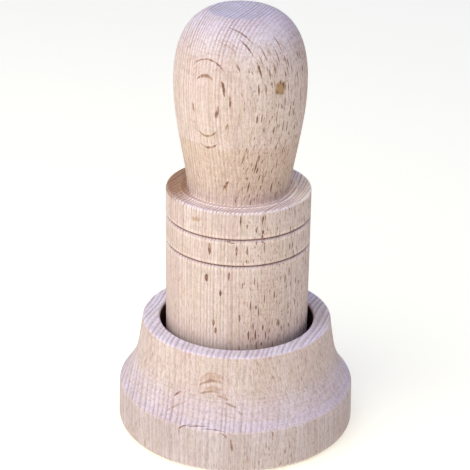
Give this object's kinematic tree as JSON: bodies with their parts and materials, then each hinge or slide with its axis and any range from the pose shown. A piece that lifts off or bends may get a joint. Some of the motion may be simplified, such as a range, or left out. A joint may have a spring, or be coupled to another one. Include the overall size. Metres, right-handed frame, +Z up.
{
  "type": "pestle nutcracker",
  "caption": "Turned beech nutcracker: a bulb-handled pestle that slides down into a deep round cup and cracks the nut lying in it.",
  "frame": {"origin": "centre of the cup's underside, which stands on the table", "axes": "+Z up along the pestle, which is the axis both turned pieces share; +X to the right and +Y away from the viewer"},
  "size_m": [0.0838, 0.0838, 0.1522],
  "materials": {
    "beech_cup": "bare, turned and sanded",
    "beech_pestle": "bare, turned and sanded"
  },
  "bodies": {
    "cup": {"base_cup": "beech_cup"},
    "pestle": {"pestle": "beech_pestle"}
  },
  "joints": [
    {"name": "pestle_lift", "type": "slide", "parent": "cup", "child": "pestle", "axis": [0, 0, 1], "range_m": [0, 0.08]}
  ]
}
